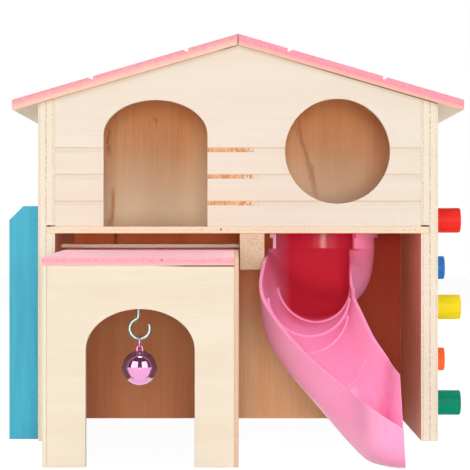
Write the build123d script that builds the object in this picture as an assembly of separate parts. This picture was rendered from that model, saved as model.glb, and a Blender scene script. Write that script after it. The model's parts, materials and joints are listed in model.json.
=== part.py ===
from build123d import *
import math
import os

# Wooden hamster house: plywood walls with a pitched roof, an upper room over a joist, a porch
# box with a hanging bell, a moulded plastic chute, climbing pegs and a side ladder.
# Millimetres. While it is drawn, X = 0 is the ridge line, Y = 0 the front edge of the side
# walls with +Y to the back, and Z = 0 the ground. The last step moves the origin to the middle
# of the overall footprint.

# side walls and back wall
wall_span = 200.0
wall_thickness = 8.5
wall_depth = 138.5
back_thickness = 8.5

# roof: the ridge's underside stands above the upper floor
ridge_rise = 91.0
roof_pitch = 16.3
roof_thickness = 5.2
eave_overhang = 13.0
eave_round = 0.8
roof_front_overhang = 1.0
roof_back_overhang = 1.5
ridge_gap = 0.1
groove_places = (26.0, 73.5)
groove_width = 2.2
groove_depth = 1.5

# upper floor and what carries it
floor_height = 103.85
floor_thickness = 3.35
dado_depth = 4.2
dado_clearance = 0.65
joist_left = 0.85
joist_width = 12.4
joist_height = 18.3

# upper front panel: heights are measured up from the upper floor
panel_thickness = 5.0
door_centre = -41.25
door_width = 52.0
door_leg = 45.8
door_rise = 17.6
window_centre = 49.75
window_rise = 37.7
window_radius = 26.3
line_rises = (11.7, 25.0, 38.3)
line_width = 2.1
line_depth = 0.6

# porch box in front of the lower left room
porch_wall_gap = 4.5
porch_joist_gap = 0.65
porch_front = -120.0
porch_back = 15.0
porch_drop = 14.15
porch_panel_thickness = 5.0
porch_side_thickness = 2.0
porch_roof_thickness = 3.5
porch_roof_overhang = 1.0
porch_roof_rise = 1.15
porch_door_centre = -43.5
porch_door_width = 48.3
porch_door_leg = 52.0
porch_door_rise = 18.2
batten_front = 40.0
batten_width = 12.0
batten_thickness = 1.9

# hook, link and bell
hook_x = -44.1
hook_y = -111.0
hook_wire = 1.7
hook_radius = 4.5
hook_bend = 2.0
hook_offset = 0.6
hook_end = 24.0
hook_loop_drop = 28.5
hook_screw_length = 2.8
link_radius = 2.975
link_wire = 0.9
bell_radius = 7.7
bell_wall = 0.5
bell_seam = 0.35
bell_seam_height = 0.9
bell_eye_wire = 0.9
bell_eye_width = 3.4
bell_slot_width = 1.3
bell_hole_radius = 1.3
bell_hole_drop = 3.4
clapper_radius = 2.0
hang_gap = 0.2

# climbing pegs on the right wall: colour, distance back, height
peg_radius = 6.35
peg_reach = 13.3
peg_round = 0.9
peg_socket = 3.5
peg_front_row = 22.0
peg_back_row = 105.0
peg_places = {
    "red": (peg_front_row, 110.5),
    "yellow": (peg_front_row, 66.3),
    "green": (peg_front_row, 17.6),
    "blue": (peg_back_row, 85.1),
    "orange": (peg_back_row, 34.9),
}

# ladder on the left wall, and the doorway that it leads to
ladder_front = 10.0
ladder_width = 58.0
ladder_above_floor = 10.4
rail_reach = 15.4
rail_thickness = 6.0
rail_chamfer = 7.1
rung_radius = 3.0
rung_count = 5
rung_tenon = 3.0
rung_foot = 16.0
side_door_width = 40.0
side_door_leg = 28.8
side_door_rise = 16.0

# chute: an upright tube through the upper floor, then an open trough down to the ground
tube_y = 35.0
tube_radius = 26.2
tube_joist_gap = 4.85
chute_wall = 1.6
collar_drop = 7.85
collar_rise = 1.3
collar_near_rim = 10.5
collar_far_rim = 14.3
lip_reach = 1.5
lip_height = 2.2
trough_radius = 22.0
trough_lead_in = 1.1
near_lean = 5.0
far_lean = 10.0
rib_height = 0.9
rib_width = 1.3

# running clearances
peg_fit = 0.05
hole_fit = 0.15
screw_fit = 0.05

half_span = wall_span / 2
inner_half = half_span - wall_thickness
floor_top = floor_height + floor_thickness
ridge_height = floor_top + ridge_rise
inner_depth = wall_depth - back_thickness
roof_slope = math.tan(math.radians(roof_pitch))
porch_slope = math.tan(math.radians(porch_roof_rise))
ladder_middle = ladder_front + ladder_width / 2
ladder_height = floor_top + ladder_above_floor
roof_reach = half_span + eave_overhang
joist_right = joist_left + joist_width
porch_left = -inner_half + porch_wall_gap
porch_right = joist_left - porch_joist_gap
porch_height = floor_height - porch_drop
tube_x = joist_right + tube_joist_gap + tube_radius
collar_bottom = floor_height - collar_drop
chute_fall = collar_bottom - trough_radius

# stations down the chute: gap from the joist's line to the near side of the round bottom, place
# in front of the tube, share of the fall still to go, heading and pitch in degrees, radius, and
# how high the near rim (right-hand, going down) and the far rim stand above the bottom's centre
chute_stations = (
    (tube_joist_gap, 0.0, 1.0, -113.0, 90.0, tube_radius, 11.2, 16.0),
    (4.75, 9.0, 0.87, -125.0, 58.0, tube_radius - trough_lead_in, 15.2, 10.5),
    (2.75, 30.8, 0.78, -122.0, 29.0, trough_radius, 15.4, 1.5),
    (-0.25, 54.0, 0.71, -98.5, 5.0, trough_radius, 13.8, 1.0),
    (-1.65, 85.5, 0.555, -82.5, 2.0, trough_radius, 10.8, 7.5),
    (8.55, 116.6, 0.33, -57.0, -2.0, trough_radius, 8.0, 8.8),
    (22.65, 137.2, 0.055, -25.8, 2.0, trough_radius, 8.3, 19.5),
    (28.75, 152.0, 0.011, -17.0, -1.0, trough_radius, 5.1, 19.8),
    (37.45, 157.9, 0.0, -4.0, -3.5, trough_radius, -3.1, 17.5),
)
sections_per_station = 3
# grip ribs across the chute: gap and place as above, heading, and how far up the fall they reach
rib_places = (
    (4.85, 32.1, -107.3, 0.736),
    (-0.25, 56.0, -97.2, 0.676),
    (-1.85, 77.0, -83.6, 0.568),
    (6.05, 114.4, -57.9, 0.304),
    (27.55, 139.0, -21.0, 0.128),
)


def roof_underside(x):
    return ridge_height - abs(x) * roof_slope


def porch_roof_underside(y):
    return porch_height + (y - porch_front) * porch_slope


def board_from_front(outline, y_front, depth):
    # outline drawn as seen from the front (X across, Z up), run back from y_front
    face_on = Plane(origin=(0, y_front, 0), x_dir=(1, 0, 0), z_dir=(0, -1, 0))
    return extrude(face_on * outline, amount=-depth)


def board_from_side(outline, x_left, thickness):
    # outline drawn along the depth (Y across, Z up), run to the right from x_left
    side_on = Plane(origin=(x_left, 0, 0), x_dir=(0, 1, 0), z_dir=(1, 0, 0))
    return extrude(side_on * outline, amount=thickness)


def board_from_above(outline, z_bottom, thickness):
    return extrude(Plane.XY.offset(z_bottom) * outline, amount=thickness)


def rectangle(left, right, bottom, top):
    middle = Pos((left + right) / 2, (bottom + top) / 2)
    return middle * Rectangle(abs(right - left), abs(top - bottom))


def outline_through(*corners):
    return make_face(Polyline(*corners, close=True))


def arched_opening(centre, width, sill, spring, rise):
    legs = rectangle(centre - width / 2, centre + width / 2, sill, spring)
    crown = Pos(centre, spring) * Ellipse(width / 2, rise)
    above = rectangle(centre - width, centre + width, spring, spring + 2 * rise)
    return legs + (crown & above)


def side_wall(side):
    # side is -1 for the left wall and +1 for the right one
    outer = side * half_span
    inner = side * inner_half
    outline = outline_through(
        (inner, 0), (outer, 0), (outer, roof_underside(outer)), (inner, roof_underside(inner)))
    wall = board_from_front(outline, 0, wall_depth)
    dado = rectangle(0, side * (inner_half + dado_depth), floor_height, floor_top + dado_clearance)
    return wall - board_from_front(dado, 0, wall_depth)


def left_wall():
    doorway = arched_opening(
        ladder_middle, side_door_width, floor_top, floor_top + side_door_leg, side_door_rise)
    return side_wall(-1) - board_from_side(doorway, -half_span, wall_thickness)


def right_wall():
    wall = side_wall(1)
    for back, height in peg_places.values():
        socket = Plane(origin=(half_span, back, height), z_dir=(-1, 0, 0))
        wall -= extrude(socket * Circle(peg_radius + peg_fit), amount=peg_socket)
    return wall


def gable_outline(bottom):
    return outline_through(
        (-inner_half, bottom), (inner_half, bottom), (inner_half, roof_underside(inner_half)),
        (0, ridge_height), (-inner_half, roof_underside(inner_half)))


def back_wall():
    return board_from_front(gable_outline(0), inner_depth, back_thickness)


def front_panel():
    outline = gable_outline(floor_top)
    outline -= arched_opening(door_centre, door_width, floor_top, floor_top + door_leg, door_rise)
    outline -= Pos(window_centre, floor_top + window_rise) * Circle(window_radius)
    panel = board_from_front(outline, 0, panel_thickness)
    for rise in line_rises:
        bottom = floor_top + rise - line_width / 2
        line = rectangle(-half_span, half_span, bottom, bottom + line_width)
        panel -= board_from_front(line, 0, line_depth)
    return panel


def roof_half(side):
    # plumb-cut at the ridge and at the eaves, with two lines scored from front to back
    rise = roof_thickness / math.cos(math.radians(roof_pitch))
    ridge = side * ridge_gap / 2
    eave = side * roof_reach
    outline = outline_through(
        (ridge, roof_underside(ridge)), (eave, roof_underside(eave)),
        (eave, roof_underside(eave) + rise), (ridge, roof_underside(ridge) + rise))
    for place in groove_places:
        top = roof_underside(place) + rise
        near = side * (place - groove_width / 2)
        far = side * (place + groove_width / 2)
        outline -= outline_through((near, top - groove_depth), (far, top - groove_depth / 2),
                                   (far, top + groove_depth), (near, top + groove_depth))
    depth = roof_front_overhang + wall_depth + roof_back_overhang
    board = board_from_front(outline, -roof_front_overhang, depth)
    eave_edges = board.edges().filter_by(Axis.Y).sort_by(lambda edge: side * edge.center().X)[-2:]
    return fillet(eave_edges, eave_round)


def upper_floor():
    reach = inner_half + dado_depth
    outline = rectangle(-reach, reach, 0, inner_depth)
    outline -= Pos(tube_x, tube_y) * Circle(tube_radius + hole_fit)
    return board_from_above(outline, floor_height, floor_thickness)


def floor_joist():
    end = rectangle(joist_left, joist_left + joist_width, floor_height - joist_height, floor_height)
    return board_from_front(end, 0, inner_depth)


def along_porch_roof(front, back, lower, upper):
    # strip seen from the side, from lower to upper above the porch roof's underside
    return outline_through(
        (front, porch_roof_underside(front) + lower), (back, porch_roof_underside(back) + lower),
        (back, porch_roof_underside(back) + upper), (front, porch_roof_underside(front) + upper))


def porch_batten():
    # nailing strip between the left wall and the joist, on top of the porch roof's back edge
    strip = along_porch_roof(batten_front, batten_front + batten_width,
                             porch_roof_thickness, porch_roof_thickness + batten_thickness)
    return board_from_side(strip, -inner_half, inner_half + joist_left)


def porch_side(x_left, thickness, top_offset):
    # stands on the ground with its top edge top_offset above the porch roof's underside
    outline = outline_through(
        (porch_front, 0), (porch_back, 0),
        (porch_back, porch_roof_underside(porch_back) + top_offset),
        (porch_front, porch_roof_underside(porch_front) + top_offset))
    return board_from_side(outline, x_left, thickness)


def porch_front_panel():
    left = porch_left + porch_side_thickness
    right = porch_right - porch_side_thickness
    outline = rectangle(left, right, 0, floor_height)
    outline -= arched_opening(
        porch_door_centre, porch_door_width, 0, porch_door_leg, porch_door_rise)
    panel = board_from_front(outline, porch_front, porch_panel_thickness)
    return panel & porch_side(left, right - left, 0)


def porch_roof():
    strip = along_porch_roof(porch_front - porch_roof_overhang, batten_front + batten_width,
                             0, porch_roof_thickness)
    board = board_from_side(strip, porch_left, porch_right - porch_side_thickness - porch_left)
    screw_hole = Pos(hook_x - hook_offset, hook_y, porch_roof_underside(hook_y))
    return board - screw_hole * Cylinder(hook_wire / 2 + screw_fit, 2 * hook_screw_length)


hook_centre = porch_height - hook_loop_drop
hook_bottom = hook_centre - hook_radius
link_top = hook_bottom + hook_wire / 2 + hang_gap + link_wire / 2
link_centre = link_top - link_radius
link_bottom = link_centre - link_radius
eye_top = link_bottom + link_wire / 2 + hang_gap + bell_eye_wire / 2
bell_top = link_bottom - link_wire / 2 - 2 * hang_gap
bell_centre = bell_top - bell_radius


def wire_along(path, start, heading, radius):
    return sweep(Plane(origin=start, z_dir=heading) * Circle(radius), path=path)


def bell_hook():
    # straight screw shank, a small reverse bend and an open loop, all in one upright plane
    bend_x = -hook_offset - hook_bend
    bend_z = math.sqrt((hook_radius + hook_bend) ** 2 - bend_x ** 2)
    meet = math.degrees(math.atan2(bend_z, bend_x))
    top = porch_roof_underside(hook_y) + hook_screw_length - hook_centre
    shank = Line((-hook_offset, top), (-hook_offset, bend_z))
    bend = CenterArc((bend_x, bend_z), hook_bend, 0, meet - 180)
    loop = CenterArc((0, 0), hook_radius, meet, 360 + hook_end - meet)
    upright = Plane(origin=(hook_x, hook_y, hook_centre), x_dir=(1, 0, 0), z_dir=(0, -1, 0))
    path = upright * (shank + bend + loop)
    start = (hook_x - hook_offset, hook_y, top + hook_centre)
    return wire_along(path, start, (0, 0, -1), hook_wire / 2)


def bell_link():
    ring = Torus(link_radius, link_wire / 2)
    return Pos(hook_x, hook_y, link_centre) * Rot(0, 90, 0) * ring


def bell_at(shape):
    return Pos(hook_x, hook_y, bell_centre) * shape


def bell_shell(direction):
    # one half of the bell: direction is +1 for the upper shell and -1 for the lower one
    inner = bell_radius - bell_wall
    wall = Circle(bell_radius) - Circle(inner)
    seam = rectangle(inner, bell_radius + bell_seam, 0, direction * bell_seam_height / 2)
    half = rectangle(0, 2 * bell_radius, 0, direction * 2 * bell_radius)
    profile = (wall & half) + seam
    return revolve(Plane.XZ * profile, Axis.Z)


def bell_upper_shell():
    # the eye is a staple of wire in the plane across the link, rooted in the crown
    leg = bell_eye_width / 2 - bell_eye_wire / 2
    top = eye_top - bell_centre
    foot = bell_radius - bell_wall / 2
    arch = RadiusArc((-leg, top - leg), (leg, top - leg), leg)
    path = Line((-leg, foot - leg), (-leg, top - leg)) + arch + Line((leg, top - leg), (leg, foot - leg))
    upright = Plane(origin=(0, 0, 0), x_dir=(1, 0, 0), z_dir=(0, -1, 0))
    staple = wire_along(upright * path, (-leg, 0, foot - leg), (0, 0, 1), bell_eye_wire / 2)
    core = Sphere(bell_radius - bell_wall / 2)
    return bell_at(bell_shell(1) + (staple - core))


def bell_lower_shell():
    # a slit runs round under the bell between two round holes
    slit = Pos(0, 0, -bell_hole_drop - bell_radius) * Box(
        4 * bell_radius, bell_slot_width, 2 * bell_radius)
    hole = Pos(0, 0, -bell_hole_drop) * Rot(0, 90, 0) * Cylinder(bell_hole_radius, 4 * bell_radius)
    return bell_at(bell_shell(-1) - slit - hole)


def bell_clapper():
    rest = bell_centre - bell_radius + bell_wall + hang_gap + clapper_radius
    return Pos(hook_x, hook_y, rest) * Sphere(clapper_radius)


def peg(back, height):
    start = Plane(origin=(half_span - peg_socket, back, height), z_dir=(1, 0, 0))
    dowel = extrude(start * Circle(peg_radius), amount=peg_socket + peg_reach)
    return fillet(dowel.edges().sort_by(Axis.X)[-1:], peg_round)


def ladder_rung_heights():
    step = (ladder_height - rail_chamfer - 2 * rung_foot) / (rung_count - 1)
    return [rung_foot + step * place for place in range(rung_count)]


def rung_at(height, radius):
    length = ladder_width - 2 * rail_thickness + 2 * rung_tenon
    start = Plane(origin=(-half_span - rail_reach / 2, ladder_middle - length / 2, height),
                  z_dir=(0, 1, 0))
    return extrude(start * Circle(radius), amount=length)


def ladder_rungs():
    return Part() + [rung_at(height, rung_radius) for height in ladder_rung_heights()]


def ladder_rail(front):
    outer = -half_span - rail_reach
    outline = outline_through(
        (-half_span, 0), (-half_span, ladder_height), (outer + rail_chamfer, ladder_height),
        (outer, ladder_height - rail_chamfer), (outer, 0))
    rail = board_from_front(outline, front, rail_thickness)
    for height in ladder_rung_heights():
        rail -= rung_at(height, rung_radius + peg_fit)
    return rail


def on_circle(radius, angle):
    # angle in degrees from the lowest point of the trough
    return Vector(radius * math.sin(math.radians(angle)), -radius * math.cos(math.radians(angle)))


def flank(radius, rim, lean, inset, side, curved):
    # one side of a trough section, from where it leaves the round bottom up to the rim: the
    # tube's own curve if it is curved or stops low, otherwise a straight wall leaning outwards
    leave = 90 - lean
    straight_start = -radius * math.sin(math.radians(lean))
    if curved or rim <= straight_start:
        tip_angle = 90 + math.degrees(math.asin(rim / radius))
        leave = min(leave, tip_angle - 10)
        foot, middle, tip = [
            on_circle(radius - inset, side * angle)
            for angle in (leave, (leave + tip_angle) / 2, tip_angle)]
        return foot, tip, ThreePointArc(foot, middle, tip)
    height = rim - straight_start
    foot = on_circle(radius - inset, side * leave)
    tip = foot + Vector(side * height * math.tan(math.radians(lean)), height)
    return foot, tip, Line(foot, tip)


def trough_outline(radius, near_rim, far_rim, outer_inset, inner_inset):
    # a band that follows the round bottom and both sides between the two insets; the near side
    # stands upright at the tube and takes up its lean as the radius comes down to the trough's
    lean = near_lean * (tube_radius - radius) / (tube_radius - trough_radius)
    edges = []
    tips = []
    for inset in (outer_inset, inner_inset):
        near_foot, near_tip, near = flank(radius, near_rim, lean, inset, 1, False)
        far_foot, far_tip, far = flank(
            radius, far_rim, far_lean, inset, -1, radius > trough_radius)
        bottom = ThreePointArc(near_foot, on_circle(radius - inset, 0), far_foot)
        edges += [near, bottom, far]
        tips.append((near_tip, far_tip))
    edges += [Line(tips[0][0], tips[1][0]), Line(tips[0][1], tips[1][1])]
    return make_face(edges)


def fall_height(share):
    return trough_radius + chute_fall * share


def station_plane(x, y, z, heading, pitch):
    # local X points to the near side and local Y up, with the trough running down against Z
    turn = math.radians(heading)
    tilt = math.radians(pitch)
    near = (math.sin(turn), -math.cos(turn), 0)
    upstream = (-math.cos(tilt) * math.cos(turn), -math.cos(tilt) * math.sin(turn), math.sin(tilt))
    return Plane(origin=(x, y, z), x_dir=near, z_dir=upstream)


def blended(before, start, end, after, share):
    # cubic blend from one station to the next, its slopes set by the neighbouring stations
    return [
        b + share / 2 * (c - a + share * (2 * a - 5 * b + 4 * c - d + share * (3 * (b - c) + d - a)))
        for a, b, c, d in zip(before, start, end, after)]


def chute_sections():
    last = len(chute_stations) - 1
    sections = []
    for place in range(last):
        neighbours = [chute_stations[min(max(place + step, 0), last)] for step in (-1, 0, 1, 2)]
        sections += [
            blended(*neighbours, step / sections_per_station) for step in range(sections_per_station)]
    return sections + [chute_stations[last]]


def collar_ring(z_bottom, radius, height):
    # tube open on the side where the chute leaves it, between its near and far edges
    heading, pitch = chute_stations[0][3:5]
    reach = 2 * tube_radius
    near_slope = collar_near_rim / math.sqrt(tube_radius ** 2 - collar_near_rim ** 2)
    far_slope = collar_far_rim / math.sqrt(tube_radius ** 2 - collar_far_rim ** 2)
    gap = outline_through(
        (0, 0), (reach, reach * near_slope), (0, 4 * reach), (-reach, reach * far_slope))
    ring = Circle(radius) - Circle(tube_radius - chute_wall)
    return extrude(station_plane(tube_x, tube_y, z_bottom, heading, pitch) * (ring - gap),
                   amount=height)


def chute():
    sections = []
    ribs = []
    for gap, ahead, share, heading, pitch, radius, near_rim, far_rim in chute_sections():
        plane = station_plane(
            joist_right + radius + gap, tube_y - ahead, fall_height(share), heading, pitch)
        wall = trough_outline(radius, near_rim, far_rim, 0, chute_wall)
        band = trough_outline(radius, near_rim, far_rim, chute_wall / 2, chute_wall + rib_height)
        sections.append(plane * wall)
        ribs.append(plane * band)
    trough = loft(sections)
    rib_band = loft(ribs[sections_per_station:])
    for gap, ahead, heading, share in rib_places:
        top = fall_height(share)
        middle = station_plane(
            joist_right + trough_radius + gap, tube_y - ahead, top / 2, heading, 0)
        trough += rib_band & middle * Box(3 * trough_radius, top, rib_width)
    trough += collar_ring(collar_bottom, tube_radius, floor_top + collar_rise - collar_bottom)
    return trough + collar_ring(floor_height - lip_height, tube_radius + lip_reach, lip_height)


def assembly():
    pieces = {
        "wall_left": left_wall(),
        "wall_right": right_wall(),
        "back_wall": back_wall(),
        "front_panel": front_panel(),
        "upper_floor": upper_floor(),
        "floor_joist": floor_joist(),
        "roof_left": roof_half(-1),
        "roof_right": roof_half(1),
        "porch_front": porch_front_panel(),
        "porch_side_left": porch_side(porch_left, porch_side_thickness, 0),
        "porch_side_right": porch_side(
            porch_right - porch_side_thickness, porch_side_thickness, porch_roof_thickness),
        "porch_roof": porch_roof(),
        "porch_batten": porch_batten(),
        "bell_hook": bell_hook(),
        "bell_link": bell_link(),
        "bell_upper_shell": bell_upper_shell(),
        "bell_lower_shell": bell_lower_shell(),
        "bell_clapper": bell_clapper(),
        "ladder_rail_front": ladder_rail(ladder_front),
        "ladder_rail_back": ladder_rail(ladder_front + ladder_width - rail_thickness),
        "ladder_rungs": ladder_rungs(),
        "chute": chute(),
    }
    for colour, (back, height) in peg_places.items():
        pieces["peg_" + colour] = peg(back, height)
    return pieces


pieces = assembly()
boxes = [piece.bounding_box() for piece in pieces.values()]
low = [min(values) for values in zip(*[tuple(box.min) for box in boxes])]
high = [max(values) for values in zip(*[tuple(box.max) for box in boxes])]
to_origin = Pos(-(low[0] + high[0]) / 2, -(low[1] + high[1]) / 2, -low[2])
os.makedirs("parts", exist_ok=True)
for name, piece in pieces.items():
    export_step(to_origin * piece, "parts/" + name + ".step")
print("moved by", tuple(round(value, 3) for value in to_origin.position))
print("overall size", [round(top - bottom, 3) for bottom, top in zip(low, high)])
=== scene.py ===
import bpy
import bmesh
import json
import math
from mathutils import Matrix, Vector


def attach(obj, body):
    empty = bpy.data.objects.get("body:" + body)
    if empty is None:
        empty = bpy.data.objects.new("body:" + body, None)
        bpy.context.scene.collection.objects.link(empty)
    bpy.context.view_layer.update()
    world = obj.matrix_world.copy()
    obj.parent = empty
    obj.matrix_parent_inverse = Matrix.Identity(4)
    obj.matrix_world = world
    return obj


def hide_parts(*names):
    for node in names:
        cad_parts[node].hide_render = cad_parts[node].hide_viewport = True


print("loading the packed house")
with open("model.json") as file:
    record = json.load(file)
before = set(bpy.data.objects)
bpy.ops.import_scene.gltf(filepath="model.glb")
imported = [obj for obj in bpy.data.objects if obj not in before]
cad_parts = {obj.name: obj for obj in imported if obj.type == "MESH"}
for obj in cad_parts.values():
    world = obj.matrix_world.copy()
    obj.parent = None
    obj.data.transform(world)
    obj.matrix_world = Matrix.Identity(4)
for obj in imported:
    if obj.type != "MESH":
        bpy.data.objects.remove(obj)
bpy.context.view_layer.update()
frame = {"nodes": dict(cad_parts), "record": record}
nodes = frame["nodes"]

mm = 0.001
shift = Vector((1.05, 2.32, 0.0))  # house drawing to part frame, in millimetres

# faces of the boards in the house drawing, in millimetres, and the two roof pitches in degrees
house = {
    "wallInside": 91.5, "wallOutside": 100.0, "backInside": 130.0, "backOutside": 138.5,
    "floorUnder": 103.85, "ridge": 198.2, "roofPitch": 16.3, "roofBoard": 5.2,
    "porchFront": -120.0, "porchLeft": -87.0, "porchRight": 0.2, "porchSide": 2.0,
    "porchHeight": 89.7, "porchPitch": 1.15, "porchRoofBoard": 3.5,
    "scoreLips": (146.6, 133.3, 119.9),  # upper edge of each line scored in the front panel
}
slope = math.radians(house["roofPitch"])
porchTilt = math.radians(house["porchPitch"])


def placed(x, y, z):
    return (Vector((x, y, z)) + shift) * mm


def srgb(code):
    # hex colour as written on a swatch, turned to linear light
    values = [int(code[i:i + 2], 16) / 255 for i in (1, 3, 5)]
    linear = [v / 12.92 if v <= 0.04045 else ((v + 0.055) / 1.055) ** 2.4 for v in values]
    return (*linear, 1.0)


def addNode(tree, kind, inputs=None, **settings):
    node = tree.nodes.new(kind)
    for name, value in settings.items():
        setattr(node, name, value)
    for name, value in (inputs or {}).items():
        if isinstance(value, bpy.types.NodeSocket):
            tree.links.new(value, node.inputs[name])
        else:
            node.inputs[name].default_value = value
    return node


def newMaterial(name):
    material = bpy.data.materials.new(name)
    material.use_nodes = True
    tree = material.node_tree
    tree.nodes.clear()
    return material, tree


def finishMaterial(tree, color, roughness, bump=None, bumpDepth=0.0, **constants):
    # colour and roughness may be linked, everything else stands on the shader's own socket
    shader = addNode(tree, "ShaderNodeBsdfPrincipled", {"Base Color": color, "Roughness": roughness})
    for name, value in constants.items():
        shader.inputs[name].default_value = value
    if bump is not None:
        relief = addNode(tree, "ShaderNodeBump", {
            "Strength": 1.0, "Distance": bumpDepth * mm, "Height": bump})
        tree.links.new(relief.outputs[0], shader.inputs["Normal"])
    addNode(tree, "ShaderNodeOutputMaterial", {"Surface": shader.outputs[0]})


def mixed(tree, share, first, second, blend="MIX"):
    # share may be a number or a socket, and so may both colours
    node = addNode(tree, "ShaderNodeMix", {0: share, 6: first, 7: second}, data_type="RGBA", blend_type=blend)
    return node.outputs[2]


def worked(tree, operation, *values):
    return addNode(tree, "ShaderNodeMath", dict(enumerate(values)), operation=operation).outputs[0]


def product(tree, first, *others):
    for other in others:
        first = worked(tree, "MULTIPLY", first, other)
    return first


def distanceFrom(tree, value, middle):
    return worked(tree, "ABSOLUTE", worked(tree, "SUBTRACT", value, middle))


def ranged(tree, value, low, high, outLow=0.0, outHigh=1.0):
    # clamped ramp, which falls where low is the larger one
    node = addNode(tree, "ShaderNodeMapRange", {
        "Value": value, "From Min": low, "From Max": high, "To Min": outLow, "To Max": outHigh})
    return node.outputs[0]


def millimetres(tree):
    where = addNode(tree, "ShaderNodeTexCoord")
    scaled = addNode(tree, "ShaderNodeVectorMath", {0: where.outputs["Object"], "Scale": 1 / mm},
                     operation="SCALE")
    return where, scaled.outputs[0]


def acrossAndUp(tree, place):
    # x and z of the house drawing
    parts = addNode(tree, "ShaderNodeSeparateXYZ", {0: place})
    return worked(tree, "SUBTRACT", parts.outputs[0], shift.x), parts.outputs[2]


def dotProduct(tree, first, second):
    node = addNode(tree, "ShaderNodeVectorMath", {0: first, 1: second}, operation="DOT_PRODUCT")
    return node.outputs["Value"]


def stretchedNoise(tree, place, perMillimetre, detail=3.0, roughness=0.55, seed=0.0):
    # noise whose features are 1 / perMillimetre long on each axis, and seed slides to another part of it
    moved = addNode(tree, "ShaderNodeMapping", {
        "Vector": place, "Scale": perMillimetre, "Location": (seed, seed * 0.7, seed * 1.3)})
    noise = addNode(tree, "ShaderNodeTexNoise", {
        "Vector": moved.outputs[0], "Scale": 1.0, "Detail": detail, "Roughness": roughness})
    return noise.outputs[0]


def alongGrain(grain, long, across):
    # features long millimetres along the grain axis and across millimetres on the other two
    return tuple(1 / long if axis == grain else 1 / across for axis in range(3))


# Rotary-cut plywood: a nearly plain pale face with drawn-out fibre, and sawn edges where broken brown
# glue lines and open end grain show. Noise stays near 0.5, so a ramp over it says how much it marks.
def plywood(name, wood, **own):
    board = {**wood, **own}
    material, tree = newMaterial(name)
    where, place = millimetres(tree)
    grain, seed = board["grain"], board["seed"]

    bands = stretchedNoise(tree, place, alongGrain(grain, 150, 12), 2.0, seed=seed + 5)
    fibre = stretchedNoise(tree, place, alongGrain(grain, 45, 0.9), seed=seed)
    pores = stretchedNoise(tree, place, alongGrain(grain, 5, 0.4), 1.0, seed=seed + 2)
    face = mixed(tree, ranged(tree, bands, 0.36, 0.66), srgb(board["face"]), srgb(board["band"]))
    face = mixed(tree, ranged(tree, fibre, 0.46, 0.76, 0.0, board["fibreShare"]), face, srgb(board["fibre"]))
    face = mixed(tree, ranged(tree, pores, 0.62, 0.74, 0.0, board["poreShare"]), face, srgb(board["pore"]))

    # depth through the board in millimetres, measured from the face that start names
    depth = worked(tree, "SUBTRACT", dotProduct(tree, place, board["through"]), board["start"])
    specks = stretchedNoise(tree, place, (1.5, 1.5, 1.5), 2.0, 0.7, seed=seed + 7)
    broken = ranged(tree, stretchedNoise(tree, place, (1.3, 1.3, 1.3), 2.0, 0.75, seed=seed + 3), 0.4, 0.58)
    edge = mixed(tree, ranged(tree, specks, 0.5, 0.7, 0.0, board["speckShare"]), srgb(board["edge"]),
                 srgb(board["speck"]))
    for line, halfWidth, share in board["glueLines"]:
        onLine = ranged(tree, distanceFrom(tree, depth, line), halfWidth, halfWidth * 0.3, 0.0, share)
        edge = mixed(tree, product(tree, onLine, broken), edge, srgb(board["glue"]))

    facing = dotProduct(tree, where.outputs["Normal"], board["through"])
    onFace = ranged(tree, worked(tree, "ABSOLUTE", facing), 0.75, 0.9)
    color = mixed(tree, onFace, edge, face)
    for coat in board["coats"]:
        color = coat(tree, place, depth, onFace, color)
    faceRelief = worked(tree, "ADD", fibre, product(tree, pores, 0.5))
    relief = mixed(tree, onFace, specks, faceRelief)
    finishMaterial(tree, color, board["roughness"], relief, board["bumpDepth"],
                   **{"Specular IOR Level": board["specular"]})
    return material


# sanded basswood: cream, close-grained, almost no figure
basswood = {
    "face": "#E6DCCC", "band": "#E4D8C5", "fibre": "#DFCDB0", "pore": "#D0B896", "fibreShare": 0.3,
    "poreShare": 0.15, "edge": "#EADFCA", "speck": "#CBB28B", "speckShare": 0.35, "glue": "#A98862",
    "roughness": 0.6, "bumpDepth": 0.04, "specular": 0.25, "start": 0.0, "glueLines": (), "coats": (),
}
# poplar veneer inside the house: tan to reddish with drawn-out brown fibre
poplarInside = {
    **basswood, "face": "#FFCE9E", "band": "#F9BE8A", "fibre": "#E29F66", "pore": "#B27C4E",
    "fibreShare": 0.4, "poreShare": 0.12, "edge": "#EBD3AC", "speck": "#B88C5A", "speckShare": 0.4,
    "glue": "#94704A", "bumpDepth": 0.05, "specular": 0.2,
}
# glue lines: depth in the board, half width and strength
wallPlies = ((1.1, 0.32, 0.6), (4.5, 0.38, 0.85), (7.6, 0.3, 0.5))
panelPlies = ((1.5, 0.3, 0.35), (3.5, 0.3, 0.35))
thinPlies = ((0.6, 0.18, 0.4), (1.4, 0.18, 0.4))
floorPly = ((1.7, 0.4, 0.3),)


# Each coat takes the board's colour so far and gives it back changed. depth and onFace tell it where on the
# board it is: how deep in millimetres, and 1 on the two faces, 0 on the edges.
def innerPaintedReflection(tree, place, depth, onFace, color):
    # painted reflection: the wall face that looks into the house is coloured redder than the cream ply,
    # standing in for the pink and red light bounced about inside
    fibre = stretchedNoise(tree, place, alongGrain(2, 40, 1.4), seed=21.0)
    reddened = mixed(tree, ranged(tree, fibre, 0.42, 0.7), srgb("#FFB298"), srgb("#F09A7C"))
    inner = product(tree, ranged(tree, depth, 0.5, 0.2), onFace)
    return mixed(tree, inner, color, reddened)


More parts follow.
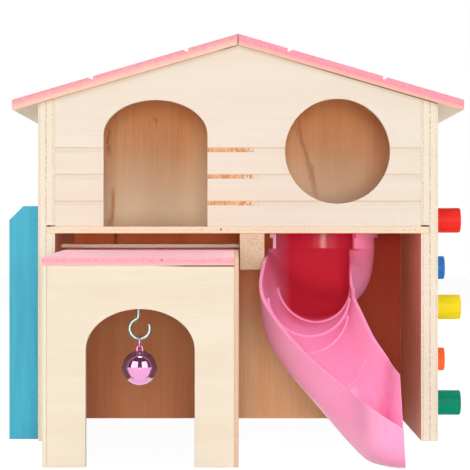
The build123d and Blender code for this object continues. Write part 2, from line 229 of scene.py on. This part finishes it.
def paintedShadeUnderRoof(tree, place, depth, onFace, color):
    # painted shade: the roof boards don't quite close on the panel, so a soft painted shadow lies below them,
    # and a dark painted hairline for the shade in the gap, strongest over the window side
    x, z = acrossAndUp(tree, place)
    roofLine = worked(tree, "MULTIPLY_ADD", worked(tree, "ABSOLUTE", x), -math.tan(slope), house["ridge"])
    below = worked(tree, "SUBTRACT", roofLine, z)
    color = mixed(tree, ranged(tree, below, 2.6, 0.4, 0.0, 0.8), color, srgb("#E8D2BE"), "MULTIPLY")
    overWindow = ranged(tree, x, 18.0, 52.0, 0.25, 0.95)
    leftOfRidge = product(tree, ranged(tree, x, -12.0, -6.0, 0.2, 0.8), ranged(tree, x, 1.0, -1.0))
    shadedGap = worked(tree, "MAXIMUM", overWindow, leftOfRidge)
    return mixed(tree, product(tree, ranged(tree, below, 0.75, 0.4), shadedGap), color, srgb("#6B4A30"))


def paintedShadeUnderPorchRoof(tree, place, depth, onFace, color):
    # painted shade: a dark hairline along the top of the porch front towards its right end, where the porch
    # roof stands off it by a hair
    x, z = acrossAndUp(tree, place)
    shadedGap = product(tree, ranged(tree, z, 88.7, 89.1), ranged(tree, x, -37.0, -23.0, 0.1, 0.9))
    return mixed(tree, shadedGap, color, srgb("#7A5838"))


def scoredCoreAndLipShade(tree, place, depth, onFace, color):
    x, z = acrossAndUp(tree, place)
    # painted shade: a fine brown line under the upper lip of each score, where the lip shades the groove
    for lip in house["scoreLips"]:
        lipShade = ranged(tree, distanceFrom(tree, z, lip), 0.42, 0.15, 0.0, 0.6)
        color = mixed(tree, product(tree, lipShade, onFace), color, srgb("#C8A67A"))
    # beside the doorway the scores cut through the face veneer into its orange-brown glue and core
    inScore = product(tree, ranged(tree, depth, 0.3, 0.45), ranged(tree, depth, 1.0, 0.8), onFace)
    blotch = stretchedNoise(tree, place, (0.7, 1.0, 0.3), 2.0, 0.7, seed=4.0)
    ragged = product(tree, worked(tree, "SUBTRACT", blotch, 0.5), 2.2)
    fromDoor = ranged(tree, x, -2.0, 12.5, 1.0, 0.0)
    here = product(tree, ranged(tree, worked(tree, "ADD", fromDoor, ragged), 0.3, 0.6),
                   ranged(tree, fromDoor, 0.0, 0.12), ranged(tree, x, -16.0, -15.0))
    core = mixed(tree, ranged(tree, blotch, 0.38, 0.62), srgb("#E6B98C"), srgb("#CE8C57"))
    return mixed(tree, product(tree, inScore, here), color, core)


# how the back wall's inner face is stained: middle in x, lean, height of the middle, half height,
# half width, strength and shade of each streak
backStreaks = (
    (-70.5, 0.06, 118.0, 14.0, 1.9, 0.8, "#E09A58"),
    (-72.5, 0.0, 156.0, 9.0, 1.1, 0.6, "#C07C40"),
    (-69.0, 0.0, 98.0, 10.0, 1.2, 0.8, "#6E3418"),
    (38.8, -0.27, 146.0, 26.0, 2.0, 0.45, "#B0643C"),
    (-46.0, 0.0, 166.5, 3.0, 1.2, 0.35, "#9A6238"),
)


def streaksAndPaintedShade(tree, place, depth, onFace, color):
    # painted shade and light on the inner face: redder and darker under the floor, in the right corner and
    # behind the porch, lighter low in the upper room and warmer and darker towards its top; then orange resin
    # streaks and a darker slanting band, all on the inner face; the outer face is the plain duller veneer
    duller = mixed(tree, 1.0, color, srgb("#E0D2C2"), "MULTIPLY")
    outer = mixed(tree, onFace, color, duller)
    x, z = acrossAndUp(tree, place)
    underFloor = ranged(tree, z, 108.0, 104.0)
    # painted shade and reflection: the wall below the floor is made redder and darker
    paintedShadeBelowFloor = product(tree, ranged(tree, z, 50.0, 100.0), underFloor)
    color = mixed(tree, paintedShadeBelowFloor, color, srgb("#FFAC88"), "MULTIPLY")
    # painted light: the lower part of the upper room's wall is made lighter, where light falls in through the
    # door and window
    paintedLightAboveFloor = product(tree, ranged(tree, z, 148.0, 120.0, 0.0, 0.8), ranged(tree, z, 106.0, 108.0))
    color = mixed(tree, paintedLightAboveFloor, color, srgb("#FFE8C6"))
    # painted shade and reflection: the right corner below the floor goes dark red behind the pink chute
    paintedShadeRightCorner = product(tree, ranged(tree, x, 48.0, 66.0), underFloor)
    color = mixed(tree, paintedShadeRightCorner, color, srgb("#B8604A"), "MULTIPLY")
    # painted shade: darker behind the porch, below its roof
    paintedShadeBehindPorch = product(tree, ranged(tree, x, 4.0, -4.0), ranged(tree, z, 92.0, 76.0))
    color = mixed(tree, paintedShadeBehindPorch, color, srgb("#EACDBC"), "MULTIPLY")
    # painted shade: warmer and darker towards the top of the upper room, under the roof
    color = mixed(tree, ranged(tree, z, 144.0, 170.0, 0.0, 0.8), color, srgb("#FFDCB4"), "MULTIPLY")
    ragged = stretchedNoise(tree, place, (0.35, 1.0, 0.1), 3.0, 0.65, seed=6.0)
    wander = product(tree, worked(tree, "SUBTRACT", ragged, 0.5), 7.0)
    for middle, lean, height, halfHeight, halfWidth, strength, shade in backStreaks:
        up = worked(tree, "SUBTRACT", z, height)
        line = worked(tree, "MULTIPLY_ADD", up, lean, middle)
        off = distanceFrom(tree, worked(tree, "ADD", x, wander), line)
        share = product(tree, ranged(tree, off, halfWidth, halfWidth * 0.3),
                        ranged(tree, worked(tree, "ABSOLUTE", up), halfHeight, halfHeight * 0.5), strength)
        color = mixed(tree, share, color, srgb(shade))
    inner = product(tree, ranged(tree, depth, 0.6, 0.3), onFace)
    return mixed(tree, inner, outer, color)


# Pink wall paint brushed on the boards: strong on top, thinning to bare peach wood low on the edge
def brushedPink(paint):
    def coat(tree, place, depth, onFace, color):
        ragged = stretchedNoise(tree, place, (0.25, 0.4, 0.25), 3.0, 0.7, seed=3.0)
        streaks = stretchedNoise(tree, place, alongGrain(paint["grain"], 60, 1.1), 3.0, seed=2.0)
        specks = stretchedNoise(tree, place, (1.3, 1.3, 1.3), 2.0, 0.8, seed=8.0)
        streaky = ranged(tree, streaks, 0.38, 0.68)
        pink = mixed(tree, streaky, srgb(paint["main"]), srgb(paint["shade"]))
        pink = mixed(tree, ranged(tree, specks, 0.56, 0.7, 0.0, 0.5), pink, srgb(paint["speck"]))
        low = mixed(tree, ranged(tree, specks, 0.5, 0.68, 0.0, 0.45), srgb(paint["low"]),
                    srgb(paint["lowSpeck"]))
        height = worked(tree, "MULTIPLY_ADD", worked(tree, "SUBTRACT", ragged, 0.5), paint["ragged"], depth)
        side = mixed(tree, ranged(tree, height, *paint["fade"]), low, pink)
        core = product(tree, ranged(tree, distanceFrom(tree, depth, paint["core"]), 0.55, 0.15),
                       ranged(tree, specks, 0.42, 0.58), paint["coreShare"])
        side = mixed(tree, core, side, srgb(paint["coreLine"]))
        # painted shade: a dark hairline where the two roof boards meet at the ridge, for the shade in the
        # joint's gap
        fromRidge = worked(tree, "ABSOLUTE", acrossAndUp(tree, place)[0])
        side = mixed(tree, ranged(tree, fromRidge, 0.45, 0.15, 0.0, paint["ridgeGapShade"]), side, srgb("#7A3A3C"))
        top = ranged(tree, depth, paint["thickness"] - 0.9, paint["thickness"] - 0.3)
        topPink = mixed(tree, streaky, srgb(paint["top"]), srgb(paint["topStreak"]))
        side = mixed(tree, product(tree, top, onFace), side, topPink)
        under = product(tree, ranged(tree, depth, 0.6, 0.3), onFace)
        return mixed(tree, under, side, color)
    return coat


leftRoofPaint = {
    "grain": 1, "main": "#EC9CA6", "shade": "#E4929C", "speck": "#D8808E", "low": "#F0C4B0",
    "lowSpeck": "#E6AC9A", "fade": (0.9, 4.2), "ragged": 2.2, "core": 2.9, "coreShare": 0.5,
    "coreLine": "#E79C98", "thickness": house["roofBoard"], "top": "#F8A8B4", "topStreak": "#F29EAC",
    "ridgeGapShade": 1.0,
}
rightRoofPaint = {
    **leftRoofPaint, "main": "#F29AAA", "shade": "#EA90A0", "low": "#F0B8A2", "fade": (0.3, 2.6),
    "core": 2.5, "coreShare": 0.8, "coreLine": "#E2908A",
}
# partly painted light: the porch roof's top face takes a lighter pink than its edges, to brighten the top
porchPaint = {
    **leftRoofPaint, "grain": 0, "main": "#F6A6B0", "shade": "#F19FAA", "low": "#FAB9AF",
    "fade": (-0.4, 0.9), "ragged": 0.8, "core": 2.1, "coreShare": 0.9, "coreLine": "#DC858F",
    "thickness": house["porchRoofBoard"], "top": "#FFC6D2", "topStreak": "#FDBCC9", "ridgeGapShade": 0.0,
}

print("making the wood")


def sideWall(name, side, seed):
    return plywood(name, basswood, grain=2, through=(side, 0.0, 0.0), seed=seed, glueLines=wallPlies,
                   start=house["wallInside"] + side * shift.x, coats=(innerPaintedReflection, paintedShadeUnderRoof))


def roofBoard(name, side, seed, paint, face, band):
    start = house["ridge"] * math.cos(slope) + side * shift.x * math.sin(slope)
    return plywood(name, basswood, grain=1, through=(side * math.sin(slope), 0.0, math.cos(slope)),
                   start=start, seed=seed, glueLines=panelPlies, coats=(brushedPink(paint),), face=face,
                   band=band, roughness=0.55)


porchRoofStart = house["porchHeight"] - (house["porchFront"] + shift.y) * math.tan(porchTilt)
woods = {
    "wall_left": sideWall("poplar ply, left wall", -1, 1.0),
    "wall_right": sideWall("poplar ply, right wall", 1, 2.0),
    "back_wall": plywood(
        "poplar ply, back wall", poplarInside, grain=2, through=(0.0, 1.0, 0.0), seed=3.0,
        start=house["backInside"] + shift.y, glueLines=wallPlies, coats=(streaksAndPaintedShade,)),
    "front_panel": plywood(
        "basswood ply, front panel", basswood, grain=0, through=(0.0, 1.0, 0.0), seed=4.0,
        start=shift.y, glueLines=panelPlies, coats=(scoredCoreAndLipShade, paintedShadeUnderRoof)),
    "upper_floor": plywood(
        "basswood ply, upper floor", basswood, grain=0, through=(0.0, 0.0, 1.0), seed=5.0,
        start=house["floorUnder"], glueLines=floorPly, speckShare=0.6, edge="#F2DDBE", speck="#CDA577"),
    "floor_joist": plywood(
        "pine, joist end grain", basswood, grain=1, through=(1.0, 0.0, 0.0), seed=6.0,
        edge="#E2C2A4", speck="#A88062", speckShare=0.5, face="#E0BC8C", band="#D6AC78", fibre="#B98A58"),
    # painted shade: the porch front is a darker copy of the basswood, to offset the extra lamp light it gets
    # from standing nearer the lamps
    "porch_front": plywood(
        "basswood ply, porch front", basswood, grain=0, through=(0.0, 1.0, 0.0), seed=7.0,
        start=house["porchFront"] + shift.y, glueLines=panelPlies, coats=(paintedShadeUnderPorchRoof,),
        face="#E3D5C0", band="#E0D0B9", fibre="#D6C2A4"),
    "porch_side_left": plywood(
        "basswood ply, porch left side", basswood, grain=2, through=(1.0, 0.0, 0.0), seed=8.0,
        edge="#E3D5C0", speckShare=0.15),
    "porch_side_right": plywood(
        "basswood ply, porch right side", basswood, grain=2, through=(1.0, 0.0, 0.0), seed=9.0,
        start=house["porchRight"] - house["porchSide"] + shift.x, glueLines=thinPlies, edge="#DDB498"),
    # painted light and reflection: the batten is coloured lighter and pinker than bare pine, for the pink
    # light off the porch roof and to lift it in the shade of the slot
    "porch_batten": plywood(
        "pine, porch batten", basswood, grain=0, through=(0.0, 0.0, 1.0), seed=10.0,
        face="#FFD8BC", band="#F8CCAE", edge="#FFD8BC", speckShare=0.2),
    "ladder_rungs": plywood(
        "birch dowel, rungs", basswood, grain=1, through=(0.0, 1.0, 0.0), seed=11.0,
        edge="#EBCFA4", speckShare=0.25),
    "roof_left": roofBoard("pink painted ply, left roof", -1, 12.0, leftRoofPaint, "#E4D6C4", "#DFCFB9"),
    "roof_right": roofBoard("pink painted ply, right roof", 1, 13.0, rightRoofPaint, "#E8DCCC", "#E4D6C2"),
    "porch_roof": plywood(
        "pink painted ply, porch roof", basswood, grain=0, seed=14.0, glueLines=panelPlies,
        through=(0.0, -math.sin(porchTilt), math.cos(porchTilt)),
        start=porchRoofStart * math.cos(porchTilt), coats=(brushedPink(porchPaint),), roughness=0.55),
}


# Water-based colour brushed on plywood: even, with the grain just showing through
def brushedPaint(name, paint):
    material, tree = newMaterial(name)
    where, place = millimetres(tree)
    seed = paint["seed"]
    fibre = stretchedNoise(tree, place, alongGrain(paint["grain"], 30, 0.8), seed=seed)
    bands = stretchedNoise(tree, place, alongGrain(paint["grain"], 90, 6), 2.0, seed=seed + 4)
    grit = stretchedNoise(tree, place, (1.2, 1.2, 1.2), 2.0, 0.7, seed=seed + 8)
    color = mixed(tree, ranged(tree, bands, 0.35, 0.68), srgb(paint["main"]), srgb(paint["shade"]))
    color = mixed(tree, ranged(tree, fibre, 0.5, 0.75, 0.0, paint["fibreShare"]), color,
                  srgb(paint["fibre"]))
    color = mixed(tree, ranged(tree, grit, 0.66, 0.76, 0.0, paint["gritShare"]), color, srgb(paint["grit"]))
    finishMaterial(tree, color, paint["roughness"], fibre, paint["bumpDepth"],
                   **{"Specular IOR Level": paint["specular"]})
    return material


ladderPaint = {
    "grain": 2, "seed": 1.0, "main": "#42AEC8", "shade": "#38A4C0", "fibre": "#2890AE", "fibreShare": 0.5,
    "grit": "#8FD8E8", "gritShare": 0.2, "roughness": 0.55, "specular": 0.25, "bumpDepth": 0.05,
}
woods["ladder_rail_front"] = brushedPaint("blue paint on ply", ladderPaint)
woods["ladder_rail_back"] = woods["ladder_rail_front"]

# lacquer on the pegs: a little smoother than the ladder's paint
pegLacquer = {
    "grain": 0, "fibreShare": 0.35, "gritShare": 0.3, "roughness": 0.42, "specular": 0.08,
    "bumpDepth": 0.04,
}
pegColors = {
    # main, shade, fibre and grit
    "red": ("#F03026", "#E42A22", "#C81E18", "#FF7A66"),
    "yellow": ("#F0D91E", "#E6CC18", "#C8B00E", "#F8EC82"),
    "green": ("#009070", "#008466", "#006A50", "#4CC09C"),
    "blue": ("#3078C8", "#2A6CB8", "#1E5698", "#7AAEE6"),
    "orange": ("#FF7438", "#F8662C", "#DC501C", "#FFA67E"),
}
for number, (color, (main, shade, fibre, grit)) in enumerate(pegColors.items()):
    woods["peg_" + color] = brushedPaint(color + " lacquer on dowel", {
        **pegLacquer, "seed": 2.0 + number, "main": main, "shade": shade, "fibre": fibre, "grit": grit})


print("making the plastic and the metals")

chuteWall = {
    "wall": "#FFA8CC", "flow": "#FFA0C6", "upward": "#F67CAE", "bend": "#FF86AC", "tube": "#E6324C",
    "roughness": 0.26, "glow": 0.6, "glowDepth": 4.0, "specular": 0.22, "ior": 1.49,
    "tubeAxis": (44.3, 35.0, 0.0),
}


# Injection-moulded polypropylene: smooth waxy gloss and light glowing through the thin wall; the closed upper
# tube's deep red is painted shade, and the deeper pinks of faces that look up and of the top are painted
# reflection and shade
def mouldedPolypropylene(plastic):
    material, tree = newMaterial("pink moulded polypropylene")
    where, place = millimetres(tree)
    fromAxis = addNode(tree, "ShaderNodeVectorMath", {0: place, 1: Vector(plastic["tubeAxis"]) + shift},
                       operation="SUBTRACT").outputs[0]
    parts = addNode(tree, "ShaderNodeSeparateXYZ", {0: fromAxis})
    x, y, z = parts.outputs
    flow = stretchedNoise(tree, place, (0.02, 0.02, 0.02), 1.0, seed=1.0)
    wall = mixed(tree, ranged(tree, flow, 0.35, 0.65), srgb(plastic["wall"]), srgb(plastic["flow"]))
    upward = addNode(tree, "ShaderNodeSeparateXYZ", {0: where.outputs["Normal"]}).outputs[2]
    # painted reflection: faces that look up, into the pink trough, are a deeper pink
    wall = mixed(tree, ranged(tree, upward, 0.1, 0.6, 0.0, 0.6), wall, srgb(plastic["upward"]))
    # painted shade: deeper pink towards the top, under the floor
    wall = mixed(tree, ranged(tree, z, 74.0, 92.0, 0.0, 0.85), wall, srgb(plastic["bend"]))
    # painted shade: a deep red inside the tube, on surfaces that face its axis, from the floor hole down to
    # where the trough opens
    flat = addNode(tree, "ShaderNodeVectorMath", {0: fromAxis, 1: (1.0, 1.0, 0.0)}, operation="MULTIPLY")
    outward = addNode(tree, "ShaderNodeVectorMath", {0: flat.outputs[0]}, operation="NORMALIZE")
    facing = dotProduct(tree, where.outputs["Normal"], outward.outputs[0])
    inside = ranged(tree, worked(tree, "SUBTRACT", facing, upward), 0.3, -0.3)
    tubeShadeShare = product(tree, ranged(tree, y, -42.0, -24.0), ranged(tree, z, 42.0, 58.0),
                     ranged(tree, x, -26.0, -17.0), inside)
    color = mixed(tree, tubeShadeShare, wall, srgb(plastic["tube"]))
    finishMaterial(tree, color, plastic["roughness"], **{
        "Subsurface Weight": plastic["glow"], "Subsurface Radius": (1.0, 0.3, 0.45),
        "Subsurface Scale": plastic["glowDepth"] * mm, "IOR": plastic["ior"],
        "Specular IOR Level": plastic["specular"]})
    return material


# Drawn or pressed steel, bare or with a bright zinc coat: greenish to warm grey with a soft mottle
def mottledSteel(name, light, dark, roughness):
    material, tree = newMaterial(name)
    where, place = millimetres(tree)
    spangle = stretchedNoise(tree, place, (1.5, 1.5, 1.5), 2.0, 0.6, seed=1.0)
    color = mixed(tree, ranged(tree, spangle, 0.35, 0.65), srgb(light), srgb(dark))
    finishMaterial(tree, color, ranged(tree, spangle, 0.3, 0.7, roughness, roughness + 0.12), spangle, 0.02,
                   Metallic=1.0)
    return material


# Stamped shells with bright plating under pink lacquer: a mirror with a lilac cast
def lacqueredPlating():
    material, tree = newMaterial("pink lacquered plating")
    where, place = millimetres(tree)
    orangePeel = stretchedNoise(tree, place, (0.5, 0.5, 0.5), 2.0, seed=1.0)
    peel = ranged(tree, orangePeel, 0.3, 0.7)
    color = mixed(tree, peel, srgb("#F0A4D6"), srgb("#EEAADA"))
    roughness = ranged(tree, orangePeel, 0.3, 0.7, 0.05, 0.07)
    finishMaterial(tree, color, roughness, orangePeel, 0.01, Metallic=0.93)
    return material


bellPlating = lacqueredPlating()
bradSteel = mottledSteel("brad head, dulled steel", "#8C8478", "#6E665A", 0.42)
finishes = {
    **woods,
    "chute": mouldedPolypropylene(chuteWall),
    "bell_hook": mottledSteel("bright zinc on steel wire", "#A9B2AC", "#959E98", 0.38),
    "bell_link": bellPlating,
    "bell_upper_shell": bellPlating,
    "bell_lower_shell": bellPlating,
    "bell_clapper": mottledSteel("plain steel ball", "#9A9C9F", "#85878A", 0.3),
}


def dress(obj, material):
    obj.data.materials.clear()
    obj.data.materials.append(material)
    for polygon in obj.data.polygons:
        polygon.material_index = 0


for node, material in finishes.items():
    dress(nodes[node], material)


print("easing the sawn edges")
bodyOf = {node: body for body, members in frame["record"]["behaviour"]["bodies"].items() for node in members}


def addObject(name, data):
    obj = bpy.data.objects.new(name, data)
    bpy.context.scene.collection.objects.link(obj)
    return obj


def easedCopy(node, name, width):
    # the board with its arrises rubbed down by width millimetres
    source = nodes[node]
    mesh = source.data.copy()
    obj = addObject(name, mesh)
    if "custom_normal" in mesh.attributes:
        mesh.attributes.remove(mesh.attributes["custom_normal"])
    work = bmesh.new()
    work.from_mesh(mesh)
    bmesh.ops.remove_doubles(work, verts=work.verts, dist=0.002 * mm)
    bmesh.ops.dissolve_limit(work, angle_limit=math.radians(0.5), verts=work.verts, edges=work.edges)
    for face in work.faces:
        face.smooth = True
    work.to_mesh(mesh)
    work.free()
    bevel = obj.modifiers.new("eased arris", "BEVEL")
    bevel.width = width * mm
    bevel.segments = 2
    bevel.limit_method = "ANGLE"
    bevel.angle_limit = math.radians(40)
    bevel.miter_outer = "MITER_ARC"
    flat = obj.modifiers.new("flat faces stay flat", "WEIGHTED_NORMAL")
    flat.weight = 100
    flat.keep_sharp = True
    depsgraph = bpy.context.evaluated_depsgraph_get()
    final = bpy.data.meshes.new_from_object(obj.evaluated_get(depsgraph))
    final.name = name
    obj.modifiers.clear()
    obj.data = final
    dress(obj, source.data.materials[0])
    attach(obj, bodyOf[node])
    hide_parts(node)


easedBoards = {
    # node: name of the eased board, width of the rubbed-down edge in millimetres
    "wall_left": ("leftWall", 0.35), "wall_right": ("rightWall", 0.35), "back_wall": ("backWall", 0.35),
    "front_panel": ("frontPanel", 0.22), "upper_floor": ("upperFloor", 0.3), "floor_joist": ("joist", 0.4),
    "porch_front": ("porchFront", 0.35), "porch_side_left": ("porchLeftSide", 0.3),
    "porch_side_right": ("porchRightSide", 0.3), "porch_roof": ("porchRoof", 0.35),
    "porch_batten": ("porchBatten", 0.25), "roof_left": ("leftRoof", 0.3), "roof_right": ("rightRoof", 0.3),
    "ladder_rail_front": ("frontRail", 0.5), "ladder_rail_back": ("backRail", 0.5),
}
for node, (name, width) in easedBoards.items():
    easedCopy(node, name, width)


print("driving the brads")
brad = {
    "radius": 0.6, "proud": 0.12, "sides": 14,
    "crown": ((1.0, -0.4), (1.0, 0.35), (0.8, 0.8), (0.4, 1.0)),  # shares of the radius and of proud
    "intoFloor": 105.5, "intoBack": 134, "intoPorchSides": -117.5,
    "backHeights": (20, 70, 120, 155), "porchHeights": (14, 48, 80),
}
bradPlaces = {
    # face: outward direction, then the points on it in house millimetres
    "floorEdge": ((0, -1, 0), [(-8.5, 0, 105.8)]),
    "porchRoofEdge": ((0, -1, 0), [(-33.9, house["porchFront"] - 1, 91.9)]),
    "leftWallOuter": ((-1, 0, 0), [
        *[(-house["wallOutside"], y, brad["intoFloor"]) for y in (28, 78, 122)],
        *[(-house["wallOutside"], brad["intoBack"], z) for z in brad["backHeights"]]]),
    "rightWallOuter": ((1, 0, 0), [
        *[(house["wallOutside"], y, brad["intoFloor"]) for y in (12, 62, 116)],
        *[(house["wallOutside"], brad["intoBack"], z) for z in brad["backHeights"]]]),
    "porchLeftOuter": ((-1, 0, 0), [
        (house["porchLeft"], brad["intoPorchSides"], z) for z in brad["porchHeights"]]),
    "porchRightOuter": ((1, 0, 0), [
        (house["porchRight"], brad["intoPorchSides"], z) for z in brad["porchHeights"]]),
    "backOuter": ((0, 1, 0), [
        (x, house["backOutside"], brad["intoFloor"]) for x in (-70, -20, 30, 75)]),
}
# on each roof board: along the side wall, and over the front panel and the back wall
roofBrads = {"overWall": 95.5, "alongWall": (12, 69, 126), "overFront": 2.8, "alongFront": (18, 52, 84)}
roofUp = {side: Vector((side * math.sin(slope), 0, math.cos(slope))) for side in (-1, 1)}


def roofTop(side, reach, y):
    eave = Vector((side * reach, y, house["ridge"] - reach * math.tan(slope)))
    return eave + roofUp[side] * house["roofBoard"]


def bradHeads():
    work = bmesh.new()

    def drive(point, outward):
        outward = Vector(outward).normalized()
        turn = outward.to_track_quat("Z", "Y").to_matrix().to_4x4()
        base = Matrix.Translation(placed(*point)) @ turn
        rings = []
        for width, height in brad["crown"]:
            ring = []
            for k in range(brad["sides"]):
                angle = 2 * math.pi * k / brad["sides"]
                reach = brad["radius"] * width * mm
                corner = Vector((reach * math.cos(angle), reach * math.sin(angle),
                                 brad["proud"] * height * mm))
                ring.append(work.verts.new(base @ corner))
            rings.append(ring)
        for lower, upper in zip(rings, rings[1:]):
            for k in range(brad["sides"]):
                after = (k + 1) % brad["sides"]
                work.faces.new((lower[k], lower[after], upper[after], upper[k]))
        work.faces.new(rings[-1])
        work.faces.new(list(reversed(rings[0])))

    for outward, points in bradPlaces.values():
        for point in points:
            drive(point, outward)
    for side in (-1, 1):
        for y in roofBrads["alongWall"]:
            drive(roofTop(side, roofBrads["overWall"], y), roofUp[side])
        for reach in roofBrads["alongFront"]:
            drive(roofTop(side, reach, roofBrads["overFront"]), roofUp[side])
            drive(roofTop(side, reach, brad["intoBack"]), roofUp[side])
    mesh = bpy.data.meshes.new("brads")
    work.to_mesh(mesh)
    work.free()
    for polygon in mesh.polygons:
        polygon.use_smooth = True
    obj = addObject("brads", mesh)
    dress(obj, bradSteel)
    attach(obj, "house")


bradHeads()


print("setting up the table, lamps and camera")
white = (1.0, 1.0, 1.0, 1.0)


def seenDirectly(tree):
    # 1 for what is looked at, also in a mirror or through glass, and 0 for the light that it sends out
    path = addNode(tree, "ShaderNodeLightPath")
    seen = worked(tree, "MAXIMUM", path.outputs["Is Camera Ray"], path.outputs["Is Glossy Ray"])
    return worked(tree, "MAXIMUM", seen, path.outputs["Is Transmission Ray"])


# edges of the table in metres
tableCard = {"matte": 0.9, "glow": 1.12, "shadowShare": 0.14, "left": -3, "right": 3, "front": -3, "back": 4}


def layTable(card):
    # seen directly and in reflections it is plain white with a trace of shadow, and for light matte white
    material, tree = newMaterial("white table card")
    matte = addNode(tree, "ShaderNodeBsdfDiffuse", {"Color": (card["matte"],) * 3 + (1.0,)})
    glow = addNode(tree, "ShaderNodeEmission", {"Color": white, "Strength": card["glow"]})
    plain = addNode(tree, "ShaderNodeMixShader", {
        0: 1 - card["shadowShare"], 1: matte.outputs[0], 2: glow.outputs[0]})
    final = addNode(tree, "ShaderNodeMixShader", {
        0: seenDirectly(tree), 1: matte.outputs[0], 2: plain.outputs[0]})
    addNode(tree, "ShaderNodeOutputMaterial", {"Surface": final.outputs[0]})
    corners = [(card["left"], card["front"], 0), (card["right"], card["front"], 0),
               (card["right"], card["back"], 0), (card["left"], card["back"], 0)]
    mesh = bpy.data.meshes.new("table")
    mesh.from_pydata(corners, [], [(0, 1, 2, 3)])
    mesh.materials.append(material)
    addObject("table", mesh)


layTable(tableCard)


# curved cards round the front of the table that only reflections see: directions in degrees and distance
# in metres from a point level with the bell
cardCentre = Vector((0.0, -0.11, 0.045))


def studioCard(name, card):
    material, tree = newMaterial(name)
    shine = addNode(tree, "ShaderNodeEmission", {"Color": white, "Strength": card["brightness"]})
    addNode(tree, "ShaderNodeOutputMaterial", {"Surface": shine.outputs[0]})
    across, up = 12, 6
    work = bmesh.new()
    grid = []
    for j in range(up + 1):
        tilt = math.radians(card["low"] + (card["high"] - card["low"]) * j / up)
        row = []
        for i in range(across + 1):
            turn = math.radians(card["left"] + (card["right"] - card["left"]) * i / across)
            toward = Vector((math.cos(tilt) * math.sin(turn), -math.cos(tilt) * math.cos(turn),
                             math.sin(tilt)))
            row.append(work.verts.new(cardCentre + toward * card["distance"]))
        grid.append(row)
    for j in range(up):
        for i in range(across):
            work.faces.new((grid[j][i], grid[j][i + 1], grid[j + 1][i + 1], grid[j + 1][i]))
    mesh = bpy.data.meshes.new(name)
    work.to_mesh(mesh)
    work.free()
    mesh.materials.append(material)
    obj = addObject(name, mesh)
    for ray in ("camera", "diffuse", "shadow", "transmission", "volume_scatter"):
        setattr(obj, "visible_" + ray, False)


studioCards = {
    "dark flag": {"distance": 1.3, "left": -84, "right": 84, "low": 0.5, "high": 76, "brightness": 0.03},
    "left window": {"distance": 1.25, "left": -58, "right": -14, "low": 2, "high": 42, "brightness": 2.2},
    "right window": {"distance": 1.25, "left": 17, "right": 58, "low": 2, "high": 42, "brightness": 2.2},
}
for name, card in studioCards.items():
    studioCard(name, card)

# the room round the table: white to look at, and hardly any light of its own
world = bpy.data.worlds.new("studio")
bpy.context.scene.world = world
world.use_nodes = True
sky = world.node_tree
sky.nodes.clear()
skyDim = addNode(sky, "ShaderNodeBackground", {"Color": white, "Strength": 0.03})
skyWhite = addNode(sky, "ShaderNodeBackground", {"Color": white, "Strength": 1.0})
skyMix = addNode(sky, "ShaderNodeMixShader", {
    0: seenDirectly(sky), 1: skyDim.outputs[0], 2: skyWhite.outputs[0]})
addNode(sky, "ShaderNodeOutputWorld", {"Surface": skyMix.outputs[0]})

lamps = {
    # name: place in metres, size, watts; all are aimed at the middle of the house, and the side and back
    # ones stand behind the front's plane
    "keySoftbox": ((0.05, -1.6, 0.5), 0.5, 2.4),
    "frontSoftbox": ((0.025, -1.6, 0.1), 0.2, 8.9),
    "frontLeftSoftbox": ((-0.6, -1.45, 0.3), 0.4, 3.3),
    "frontRightSoftbox": ((0.6, -1.45, 0.3), 0.4, 3.1),
    "topSoftbox": ((0.0, -0.15, 1.5), 0.7, 12.8),
    "leftSoftbox": ((-1.5, 0.7, 0.5), 0.7, 13.0),
    "rightSoftbox": ((1.5, 0.7, 0.5), 0.7, 13.0),
    "backSoftbox": ((0.0, 1.6, 0.5), 0.7, 10.0),
}
lampTarget = Vector((0.0, 0.0, 0.1))
for name, (place, size, watts) in lamps.items():
    lamp = bpy.data.lights.new(name, "AREA")
    lamp.shape = "SQUARE"
    lamp.size = size
    lamp.energy = watts
    obj = addObject(name, lamp)
    obj.location = place
    obj.rotation_euler = (lampTarget - Vector(place)).to_track_quat("-Z", "Y").to_euler()

viewpoint = {
    # place in house millimetres, lens and shift in pixels of the square frame
    "aside": -1.0, "distance": 1057.0, "height": 103.5, "focalPixels": 2114.0, "framePixels": 470.0,
    "shiftPixels": -1.0, "sensor": 36.0, "clip": (0.01, 20.0),
}
cameraData = bpy.data.cameras.new("camera")
cameraData.sensor_fit = "HORIZONTAL"
cameraData.sensor_width = viewpoint["sensor"]
cameraData.lens = viewpoint["focalPixels"] / viewpoint["framePixels"] * viewpoint["sensor"]
cameraData.shift_x = viewpoint["shiftPixels"] / viewpoint["framePixels"]
cameraData.shift_y = viewpoint["shiftPixels"] / viewpoint["framePixels"]
cameraData.clip_start, cameraData.clip_end = viewpoint["clip"]
camera = addObject("camera", cameraData)
camera.location = placed(viewpoint["aside"], -viewpoint["distance"], viewpoint["height"])
camera.rotation_euler = (math.radians(90), 0, 0)
bpy.context.scene.camera = camera
bpy.context.scene.view_settings.view_transform = "Standard"
